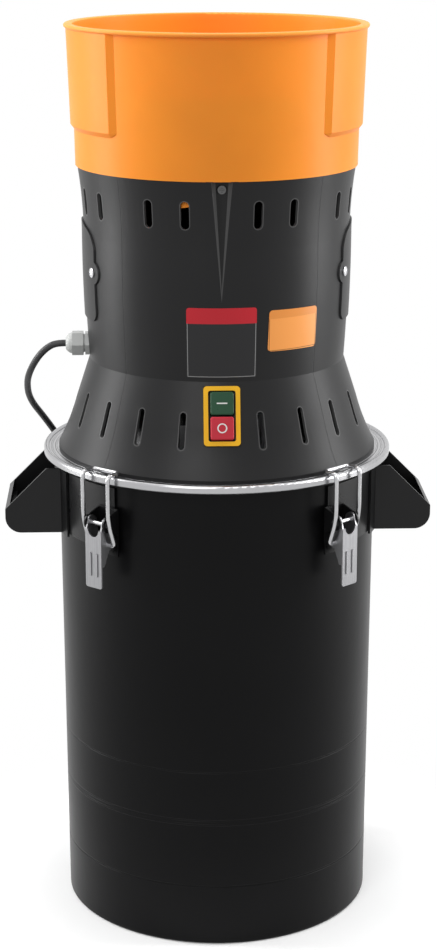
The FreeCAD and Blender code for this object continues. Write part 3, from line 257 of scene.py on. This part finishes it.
class Finish:
    """One procedural material."""

    def __init__(self, name, color, roughness=0.5, **constants):
        self.material = bpy.data.materials.new(name)
        self.material.use_nodes = True
        self.tree = self.material.node_tree
        self.shader = self.tree.nodes["Principled BSDF"]
        self.place = self.make("ShaderNodeTexCoord", "Object")
        self.base = color
        self.color = self.rgb(color)
        self.roughness = roughness
        self.height = None
        for key, value in constants.items():
            self.shader.inputs[key.replace("_", " ").title().replace("Ior", "IOR")].default_value = value

    def make(self, kind, result, **inputs):
        """Adds a node with its inputs and returns one of its outputs."""
        values = {key.replace("_", " "): value for key, value in inputs.items()}
        return Socket(self.tree, add_node(self.tree, kind, None, values).outputs[result])

    def rgb(self, color):
        """A plain colour."""
        node = add_node(self.tree, "ShaderNodeRGB")
        node.outputs[0].default_value = (*color, 1)
        return Socket(self.tree, node.outputs[0])

    def part(self, axis):
        """One coordinate, in millimetres."""
        return self.make("ShaderNodeSeparateXYZ", axis, Vector=self.place) * 1000.0

    def radius(self):
        """Distance from the mill's axis, in millimetres."""
        x, y = self.part("X"), self.part("Y")
        return (x * x + y * y).math("SQRT")

    def azimuth(self):
        """Angle from the front, positive toward +X, in degrees."""
        return self.part("X").math("ARCTAN2", -self.part("Y")) * math.degrees(1)

    def stretched(self, x, y, z):
        """The place, scaled along each axis."""
        return self.make("ShaderNodeMapping", "Vector", Vector=self.place, Scale=(x, y, z))

    def noise(self, scale, detail=3.0, at=None):
        """Cloudy values between 0 and 1."""
        return self.make("ShaderNodeTexNoise", "Fac", Vector=at or self.place, Scale=scale, Detail=detail)

    def mixed(self, first, second, share):
        """Two colours blended by a share."""
        values = {0: share, 6: first, 7: second}
        node = add_node(self.tree, "ShaderNodeMix", {"data_type": "RGBA"}, values)
        return Socket(self.tree, node.outputs[2])

    def tint(self, color, share):
        """Blends the colour so far toward another one."""
        self.color = self.mixed(self.color, self.rgb(color), share)
        return self

    def mottle(self, scale, darker, rougher=0.0):
        """Faint uneven tone and gloss."""
        cloud = self.noise(scale)
        share = cloud.ramp(0.35, 0.75)
        deeper = self.rgb([channel * darker for channel in self.base])
        self.color = self.mixed(self.color, deeper, share)
        if rougher:
            self.roughness = (cloud - 0.5) * rougher + self.roughness
        return self

    def relief(self, height, depth):
        """Adds to the bump, depth in millimetres."""
        step = height * depth
        self.height = step if self.height is None else self.height + step
        return self

    def grain(self, scale, depth):
        """Fine noise in the bump."""
        return self.relief(self.noise(scale, 2.0), depth)

    def done(self):
        """Links what was gathered and returns the material."""
        feed(self.tree, self.shader.inputs["Base Color"], self.color)
        feed(self.tree, self.shader.inputs["Roughness"], self.roughness)
        if self.height is not None:
            bump = self.make("ShaderNodeBump", "Normal", Height=self.height, Distance=MM, Strength=1.0)
            feed(self.tree, self.shader.inputs["Normal"], bump)
        return self.material


print("helpers ready")

# %% [markdown]
# ## Finishes of the moulded and painted pieces
# Fine grain, faint uneven tone and the seams that the photograph shows, all worked out from the place on
# the mill. Heights, radii and angles are in millimetres and degrees.

# %%
UPPER_SLOTS = {"angles": (15.0, 31.0, 59.0, 75.0), "low": 631.0, "high": 654.0, "half_width": 3.65,
               "radius": 116.5}
LOWER_SLOTS = {"angles": (15.5, 33.5, 51.5, 69.5, 90.0), "low": 448.0, "high": 478.0, "half_width": 2.7,
               "radius": 125.0}
# Painted highlight round the slots' edges: its tone, offset from the slot, half width and share.
SLOT_HIGHLIGHT_TONE = (0.12, 0.12, 0.12)
SLOT_HIGHLIGHT_OFFSET = 0.35
SLOT_HIGHLIGHT_HALF_WIDTH = 0.3
SLOT_HIGHLIGHT_SHARE = 0.55
PARTING_ANGLES = (45.0, 135.0)
# Painted shade in the groove's channel and painted highlight on its flanks.
CHANNEL_SHADE_TONE = (0.0035, 0.0035, 0.0035)
FLANK_HIGHLIGHT_TONE = (0.085, 0.085, 0.085)
GROOVE_POINT = 571.0
GROOVE_LENGTH = 100.0
GROOVE_HALF_WIDTH = 8.8
GROOVE_FLANK = 2.8
BIN_SEAMS = ((163.0, -0.25), (118.0, -0.2), (114.0, 0.2), (55.5, -0.35))
HOPPER_TOP = 790.0
HOPPER_RIM = 783.0
LID_GROOVES = (146.4, 142.6)


def housing_plastic():
    """Charcoal moulding with fine spark texture and the mould's parting lines."""
    finish = Finish("housing_plastic", (0.008, 0.008, 0.0085), 0.4, specular_ior_level=0.22)
    finish.mottle(18, 0.85, 0.1)
    angle = finish.azimuth().size()
    for parting in PARTING_ANGLES:
        finish.relief(angle.line(parting, 0.12), -0.25)
    groove_painted_light(finish)
    slot_edge_highlights(finish, **UPPER_SLOTS)
    slot_edge_highlights(finish, **LOWER_SLOTS)
    return finish.grain(1500, 0.05).grain(260, 0.03).done()


def slot_edge_highlights(finish, angles, low, high, half_width, radius):
    """Thin painted highlight round every upright slot, where its chamfered edge would catch the light; the
    slots at the back mirror those at the front.
    """
    around = finish.azimuth().size()
    folded = around.math("MINIMUM", 180.0 - around)
    from_middle = (finish.part("Z") - (low + high) / 2).size()
    beyond = (from_middle - ((high - low) / 2 - half_width)).math("MAXIMUM", 0.0)
    for angle in angles:
        across = (folded - angle) * (radius * math.radians(1))
        reach = (across * across + beyond * beyond).math("SQRT")
        # The lighter tint here is a painted highlight on the slot's edge.
        finish.tint(SLOT_HIGHLIGHT_TONE, reach.line(half_width + SLOT_HIGHLIGHT_OFFSET, SLOT_HIGHLIGHT_HALF_WIDTH) * SLOT_HIGHLIGHT_SHARE)
    return finish


def groove_painted_light(finish):
    """The tapering groove at the front and back: painted highlight on its sloped flanks beside painted
    shade in its channel.
    """
    above = finish.part("Z") - GROOVE_POINT
    half_width = above * (GROOVE_HALF_WIDTH / GROOVE_LENGTH)
    inside = half_width - finish.part("X").size()
    flank = above * (GROOVE_FLANK / GROOVE_LENGTH) + 0.5
    channel = inside.ramp(-0.15, 0.15)
    # Painted shade darkens the channel, then a painted highlight lightens the flanks.
    finish.tint(CHANNEL_SHADE_TONE, channel * 0.7)
    finish.tint(FLANK_HIGHLIGHT_TONE, channel * (inside - flank).ramp(0.3, -0.3) * 0.8)
    return finish


def bin_paint():
    """Satin black paint on rolled steel, with the rolled beads and the cap's seam."""
    finish = Finish("bin_paint", (0.0035, 0.0035, 0.0038), 0.33, specular_ior_level=0.1)
    finish.mottle(9, 0.8, 0.08)
    height = finish.part("Z")
    for seam, depth in BIN_SEAMS:
        finish.relief(height.line(seam, 0.5), depth)
    return finish.grain(700, 0.025).grain(45, 0.12).done()


def hopper_plastic():
    """Orange moulding, a little translucent, with a painted highlight that lightens the rim toward the top.
    """
    finish = Finish("hopper_plastic", (0.98, 0.3, 0.03), 0.4, specular_ior_level=0.15,
                    subsurface_weight=0.1, subsurface_scale=0.01)
    finish.mottle(14, 0.94, 0.1)
    # Painted highlight: the colour grows lighter up the rim toward the top.
    finish.tint((1.0, 0.36, 0.07), finish.part("Z").ramp(HOPPER_RIM, HOPPER_TOP) * 0.5)
    return finish.grain(900, 0.03).grain(60, 0.06).done()


def spun_metal():
    """Bright lid, turned on a lathe: fine rings and the two pressed grooves beside its bead, with painted
    shade in them.
    """
    finish = Finish("spun_metal", (0.45, 0.45, 0.46), 0.24, metallic=1.0).mottle(30, 0.94, 0.08)
    radius = finish.radius()
    for groove in LID_GROOVES:
        finish.relief(radius.line(groove, 0.45), -0.5)
        # Painted shade: the colour darkens a little in each pressed groove.
        finish.tint((0.42, 0.42, 0.43), radius.line(groove, 0.5) * 0.6)
    rings = finish.noise(1.0, 2.0, finish.make("ShaderNodeCombineXYZ", "Vector", X=radius * 2.2))
    return finish.relief(rings, 0.02).done()


def brushed(name, color, roughness, across):
    """Plated or drawn metal with fine brushing, tight across the given scale."""
    finish = Finish(name, color, roughness, metallic=1.0)
    lines = finish.noise(1.0, 3.0, finish.stretched(*across))
    finish.tint([channel * 0.72 for channel in color], lines.ramp(0.4, 0.8) * 0.6)
    finish.roughness = (lines - 0.5) * 0.2 + roughness
    return finish.relief(lines, 0.03).done()


def plain(name, color, roughness, grain=0.03, scale=900.0, **constants):
    """Any other moulded, painted or plated surface, with slight mottle and grain."""
    constants.setdefault("specular_ior_level", 0.25)
    finish = Finish(name, color, roughness, **constants)
    return finish.mottle(25, 0.88, 0.08).grain(scale, grain).done()


def wound_copper():
    """Enamelled wire in close turns, with painted shade in the hollows between them."""
    finish = Finish("copper", (0.42, 0.13, 0.045), 0.32, metallic=0.8, coat_weight=0.6)
    turns = (finish.part("Z") * 7.0).math("SINE")
    # Painted shade darkens the hollows between the turns.
    finish.tint((0.16, 0.045, 0.015), turns.ramp(0.1, -0.9) * 0.8)
    return finish.relief(turns, 0.12).done()


def laminated_core():
    """Stacked sheet steel."""
    finish = Finish("core_steel", (0.24, 0.24, 0.26), 0.42, metallic=0.9)
    sheets = (finish.part("Z") * 6.0).math("SINE")
    return finish.tint((0.11, 0.11, 0.12), sheets.ramp(0.2, -1.0)).relief(sheets, 0.06).done()


def cord_sheath():
    """Black rubber sheath with a soft bloom."""
    finish = Finish("cord_sheath", (0.008, 0.008, 0.009), 0.48)
    return finish.mottle(160, 1.6, 0.12).grain(1800, 0.02).done()


BLACK = (0.004, 0.004, 0.0043)
STEEL = (0.66, 0.66, 0.68)
slots = {
    "black_bin": bin_paint(),
    "bright_metal": spun_metal(),
    "housing_plastic": housing_plastic(),
    "hopper_plastic": hopper_plastic(),
    "wire": brushed("wire", (0.5, 0.5, 0.51), 0.24, (900, 900, 300)),
    "lever_steel": brushed("lever_steel", (0.33, 0.33, 0.34), 0.36, (700, 700, 25)),
    "black_steel": plain("black_steel", BLACK, 0.28, grain=0.02),
    "handle_plastic": plain("handle_plastic", BLACK, 0.34, grain=0.04, scale=1300.0),
    "gasket_rubber": plain("gasket_rubber", BLACK, 0.7),
    "screw_steel": brushed("screw_steel", (0.75, 0.75, 0.77), 0.22, (300, 300, 300)),
    "switch_yellow": plain("switch_yellow", (0.95, 0.5, 0.01), 0.3),
    "switch_black": plain("switch_black", BLACK, 0.45),
    "button_green": plain("button_green", (0.008, 0.06, 0.024), 0.28),
    "button_red": plain("button_red", (0.55, 0.02, 0.04), 0.28),
    "cast_alloy": plain("cast_alloy", (0.5, 0.5, 0.52), 0.5, grain=0.2, scale=220.0, metallic=1.0),
    "bearing_steel": brushed("bearing_steel", STEEL, 0.2, (60, 60, 900)),
    "core_steel": laminated_core(),
    "copper": wound_copper(),
    "brass": brushed("brass", (0.62, 0.4, 0.13), 0.3, (500, 80, 500)),
    "carbon": plain("carbon", (0.02, 0.02, 0.02), 0.6, grain=0.08),
    "shaft_steel": brushed("shaft_steel", (0.5, 0.5, 0.52), 0.3, (60, 60, 1200)),
    "fan_plastic": plain("fan_plastic", (0.03, 0.03, 0.032), 0.5),
    "screen_steel": brushed("screen_steel", STEEL, 0.34, (300, 300, 300)),
    "chute_steel": brushed("chute_steel", STEEL, 0.3, (500, 500, 30)),
    "gland_plastic": plain("gland_plastic", (0.5, 0.51, 0.5), 0.36),
    "cord_sheath": cord_sheath(),
}
for entry in frame["record"]["subparts"]:
    mesh = nodes[entry["node"]].data
    mesh.materials.clear()
    mesh.materials.append(slots[entry["material_slot"]])
cord.data.materials.append(slots["cord_sheath"])
# The two screws deep in the grooves lie in the hopper's shade, so their metal is darker.
shaded_screw = brushed("shaded_screw", (0.1, 0.1, 0.1), 0.3, (300, 300, 300))
nodes["hopper_screws"].data.materials[0] = shaded_screw
print(len(slots), "finishes on", len(nodes), "nodes")

# %% [markdown]
# ## Plate and sticker on the housing
# Both are thin rounded sheets. Each is drawn flat, cut into strips, projected onto the round housing and
# given its thickness. They carry no words: only plain fields, a header band and a thin border line. Their
# sizes are in millimetres and their angles in degrees.

# %%
SHEET_THICKNESS = 0.22
SHEET_LIFT = 0.08
SHEET_START = -160.0
STRIP = 3.0
HOUSING_RADIUS = 112.5
PLATE = {"half_width": 29.2, "low": 506.5, "high": 566.0, "corner": 2.2, "azimuth": 0.0, "lean": 0.0}
STICKER = {"half_width": 24.6, "low": 527.0, "high": 562.0, "corner": 3.0, "azimuth": 32.6, "lean": 1.0}


def cut_strips(axis, start, end):
    """Cuts the selected mesh across one axis every few millimetres, so that it can bend."""
    count = round((end - start) / STRIP)
    normal = [0, 0, 0]
    normal[axis] = 1
    for index in range(1, count):
        place = [0, 0, 0]
        place[axis] = (start + (end - start) * index / count) * MM
        bpy.ops.mesh.select_all(action="SELECT")
        bpy.ops.mesh.bisect(plane_co=place, plane_no=normal)


def lay_on_housing(sheet):
    """Projects a flat sheet onto the housing along its own Y and thickens it."""
    wrap = sheet.modifiers.new("wrap", "SHRINKWRAP")
    wrap.target = nodes["motor_housing"]
    wrap.wrap_method = "PROJECT"
    wrap.use_project_x = False
    wrap.use_project_y = True
    wrap.use_project_z = False
    wrap.use_positive_direction = True
    wrap.use_negative_direction = True
    wrap.offset = SHEET_LIFT * MM
    thick = sheet.modifiers.new("thick", "SOLIDIFY")
    thick.thickness = SHEET_THICKNESS * MM
    thick.offset = 1
    settle(sheet, "wrap", "thick")


def add_sheet(name, finish, half_width, low, high, corner, azimuth, lean):
    """Rounded sheet on the housing, centred on an azimuth and turned a little by its lean."""
    middle = (0, SHEET_START * MM, (low + high) / 2 * MM)
    bpy.ops.object.select_all(action="DESELECT")
    bpy.ops.mesh.primitive_plane_add(size=1, rotation=(math.pi / 2, 0, 0), location=middle)
    sheet = bpy.context.object
    sheet.name = name
    sheet.scale = (2 * half_width * MM, (high - low) * MM, 1)
    bpy.ops.object.transform_apply(location=False, rotation=False, scale=True)
    bpy.ops.object.mode_set(mode="EDIT")
    bpy.ops.mesh.select_all(action="SELECT")
    bpy.ops.mesh.bevel(offset=corner * MM, segments=5, affect="VERTICES")
    bpy.ops.object.mode_set(mode="OBJECT")
    sheet.rotation_euler.y = math.radians(lean)
    bpy.ops.object.transform_apply(location=True, rotation=True, scale=True)
    bpy.ops.object.mode_set(mode="EDIT")
    cut_strips(0, -half_width, half_width)
    cut_strips(2, low, high)
    bpy.ops.object.mode_set(mode="OBJECT")
    sheet.rotation_euler.z = math.radians(azimuth)
    lay_on_housing(sheet)
    bpy.ops.object.shade_smooth_by_angle(angle=math.radians(40))
    sheet.data.materials.append(finish)
    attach(sheet, "mill")
    return sheet


def printed_sheet(name, sheet, field, band, band_low, border):
    """Printed vinyl: a field, a header band above one height, and a thin border line inside the edge."""
    finish = Finish(name, field, 0.34, specular_ior_level=0.3)
    height = finish.part("Z")
    finish.tint(band, height.ramp(band_low - 0.15, band_low + 0.15))
    across = (finish.azimuth() - sheet["azimuth"]) * (math.radians(1) * HOUSING_RADIUS)
    side = across.size() - sheet["half_width"]
    middle = (sheet["low"] + sheet["high"]) / 2
    end = (height - middle).size() - (sheet["high"] - sheet["low"]) / 2
    edge = side.math("MAXIMUM", end)
    finish.tint(border, edge.line(-0.9, 0.18) * height.ramp(band_low + 0.1, band_low - 0.1))
    return finish.grain(800, 0.01).done()


plate_print = printed_sheet("plate_print", PLATE, field=(0.012, 0.012, 0.013), band=(0.56, 0.018, 0.03),
                            band_low=552.6, border=(0.3, 0.3, 0.3))
sticker_print = printed_sheet("sticker_print", STICKER, field=(0.93, 0.36, 0.085), band=(0.8, 0.29, 0.06),
                              band_low=555.0, border=(0.25, 0.09, 0.02))
plate = add_sheet("data_plate", plate_print, **PLATE)
sticker = add_sheet("blank_sticker", sticker_print, **STICKER)
print("plate and sticker", len(plate.data.polygons), len(sticker.data.polygons), "faces")

# %% [markdown]
# ## Symbols on the two buttons
# A raised dash on the green button and a raised ring on the red one, on the tilted faces of the switch.
# Sizes are in millimetres.

# %%
SWITCH_CENTRE = Vector((0, -119.9, 475.6))
SWITCH_LEAN = math.radians(18)
BUTTON_PITCH = 20.8
BUTTON_FACE = 5.6
SYMBOL_HEIGHT = 0.25
DASH_WIDTH = 8.8
DASH_THICKNESS = 1.1
DASH_EDGE = 0.12
RING_RADIUS = 3.6
RING_HALF_WIDTH = 0.55


def on_button(side):
    """Matrix that carries XY drawing onto a button's face: +Y up the face and +Z out of it."""
    turn = Matrix.Rotation(math.pi / 2 - SWITCH_LEAN, 4, "X")
    face = Vector((0, side * BUTTON_PITCH / 2, BUTTON_FACE))
    return Matrix.Translation(SWITCH_CENTRE * MM) @ turn @ Matrix.Translation(face * MM)


def finish_symbol(name, side, body):
    """Puts the active object on its button and paints it white."""
    symbol = bpy.context.object
    symbol.name = name
    bpy.context.view_layer.update()
    symbol.matrix_world = on_button(side) @ symbol.matrix_world
    settle(symbol)
    bpy.ops.object.shade_smooth_by_angle(angle=math.radians(35))
    symbol.data.materials.append(white_print)
    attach(symbol, body)
    return symbol


def add_dash():
    """Raised dash with soft edges."""
    bpy.ops.object.select_all(action="DESELECT")
    bpy.ops.mesh.primitive_cube_add(size=MM)
    dash = bpy.context.object
    dash.scale = (DASH_WIDTH, DASH_THICKNESS, 2 * SYMBOL_HEIGHT)
    settle(dash)
    bevel = dash.modifiers.new("soft", "BEVEL")
    bevel.width = DASH_EDGE * MM
    bevel.segments = 3
    settle(dash, "soft")
    return finish_symbol("start_symbol", 1, "start_button")


def add_ring():
    """Raised ring, flattened to the dash's height."""
    bpy.ops.object.select_all(action="DESELECT")
    bpy.ops.mesh.primitive_torus_add(major_radius=RING_RADIUS * MM, minor_radius=RING_HALF_WIDTH * MM,
                                     major_segments=64, minor_segments=12)
    ring = bpy.context.object
    ring.scale = (1, 1, SYMBOL_HEIGHT / RING_HALF_WIDTH)
    settle(ring)
    return finish_symbol("stop_symbol", -1, "stop_button")


white_print = plain("white_print", (0.8, 0.8, 0.78), 0.4, grain=0.005)
symbols = [add_dash(), add_ring()]
print("symbols", [symbol.name for symbol in symbols])

# %% [markdown]
# ## Smooth shading
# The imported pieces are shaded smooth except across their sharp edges.

# %%
SHARP = math.radians(28)


def smooth_nodes():
    """Shades every shown CAD node smooth, except across edges sharper than the angle."""
    bpy.ops.object.select_all(action="DESELECT")
    for node in nodes.values():
        if not node.hide_viewport:
            node.select_set(True)
            bpy.context.view_layer.objects.active = node
    bpy.ops.object.shade_smooth_by_angle(angle=SHARP)


smooth_nodes()
print("smoothed")

# %% [markdown]
# ## Stage and light
# A pale floor fades into a white background. Two tall soft lights stand at the mill's sides and draw the
# broad bright bands on its left and right, as in the photograph. A weaker light in front and one above open
# the dark middle and the top.

# %%
FLOOR_SIZE = 6.0
FLOOR_FADE = (330.0, 160.0)
WHITE = (1, 1, 1, 1)
SURROUND_STRENGTH = 0.4
AIM = (0, 0, 0.45)
LIGHTS = {
    "left_strip": {"place": (-1.5, 0.25, 1.0), "width": 0.6, "height": 2.0, "power": 30},
    "right_strip": {"place": (1.55, 0.05, 1.0), "width": 0.6, "height": 2.0, "power": 30},
    "front": {"place": (-0.7, -2.0, 1.7), "width": 1.2, "height": 1.2, "power": 18},
    "top": {"place": (0, 0.1, 2.2), "width": 1.2, "height": 1.2, "power": 16},
}


def add_floor():
    """White floor, clear beyond the mill's surroundings."""
    bpy.ops.object.select_all(action="DESELECT")
    bpy.ops.mesh.primitive_plane_add(size=FLOOR_SIZE)
    floor = bpy.context.object
    floor.name = "floor"
    finish = Finish("floor", WHITE[:3], 0.8)
    feed(finish.tree, finish.shader.inputs["Alpha"], finish.radius().ramp(*FLOOR_FADE))
    floor.data.materials.append(finish.grain(300, 0.02).done())


def add_light(name, place, width, height, power):
    """Soft rectangular light that faces the mill."""
    bpy.ops.object.light_add(type="AREA", location=place)
    light = bpy.context.object
    light.name = name
    light.data.shape = "RECTANGLE"
    light.data.size = width
    light.data.size_y = height
    light.data.energy = power
    light.rotation_euler = (Vector(AIM) - Vector(place)).to_track_quat("-Z", "Y").to_euler()


def white_background():
    """World that lights the mill softly and looks white to the camera."""
    world = bpy.data.worlds.new("studio")
    bpy.context.scene.world = world
    world.use_nodes = True
    tree = world.node_tree
    surround = tree.nodes["Background"]
    feed(tree, surround.inputs["Color"], WHITE)
    feed(tree, surround.inputs["Strength"], SURROUND_STRENGTH)
    backdrop = add_node(tree, "ShaderNodeBackground", None, {"Color": WHITE})
    path = add_node(tree, "ShaderNodeLightPath")
    kinds = ("Camera", "Glossy", "Transmission")
    rays = [Socket(tree, path.outputs[f"Is {kind} Ray"]) for kind in kinds]
    seen = (rays[0] + rays[1] + rays[2]).math("MINIMUM", 1.0)
    shaders = [Socket(tree, node.outputs[0]) for node in (surround, backdrop)]
    mix = add_node(tree, "ShaderNodeMixShader", None, dict(enumerate((seen, *shaders))))
    feed(tree, tree.nodes["World Output"].inputs["Surface"], Socket(tree, mix.outputs[0]))


add_floor()
for name, light in LIGHTS.items():
    add_light(name, **light)
white_background()
view = bpy.context.scene.view_settings
view.view_transform = "Standard"
view.look = "None"
print("stage set")
